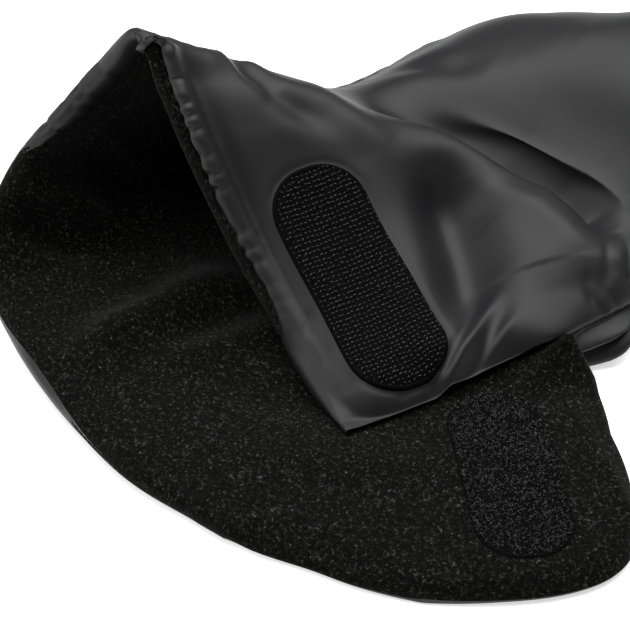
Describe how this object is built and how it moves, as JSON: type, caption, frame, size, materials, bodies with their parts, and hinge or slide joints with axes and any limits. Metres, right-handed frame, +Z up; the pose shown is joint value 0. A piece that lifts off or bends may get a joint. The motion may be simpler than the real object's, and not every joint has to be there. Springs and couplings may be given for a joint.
{
  "type": "stroller hand muff",
  "caption": "Padded black nylon hand muff with a fleece lining, an open tent-like mouth, a slit along one side and a flap with hook and loop patches that closes the slit.",
  "frame": {"origin": "middle of the bounding box, on the surface that the muff lies on", "axes": "+Z up, +Y from the open mouth to the closed tip, +X towards the slit and its flap"},
  "size_m": [0.2926, 0.3752, 0.1206],
  "materials": {
    "shell_nylon": "satin woven nylon, quilted over wadding",
    "polyester_wadding": "matt white fibre",
    "lining_fleece": "matt pile",
    "hook_tape": "woven tape with moulded hooks",
    "loop_tape": "brushed loop pile"
  },
  "bodies": {
    "muff": {"shell_upper": "shell_nylon", "wadding_upper": "polyester_wadding", "lining_upper": "lining_fleece", "shell_lower": "shell_nylon", "wadding_lower": "polyester_wadding", "lining_lower": "lining_fleece", "hook_patch": "hook_tape"},
    "flap": {"shell_flap": "shell_nylon", "wadding_flap": "polyester_wadding", "lining_flap": "lining_fleece", "loop_patch": "loop_tape"}
  },
  "joints": [
    {"name": "flap_hinge", "type": "hinge", "parent": "muff", "child": "flap", "pos_m": [0.06294, -0.08029, 0.01704], "axis": [0, -1, 0], "range_deg": [0, 165]}
  ]
}
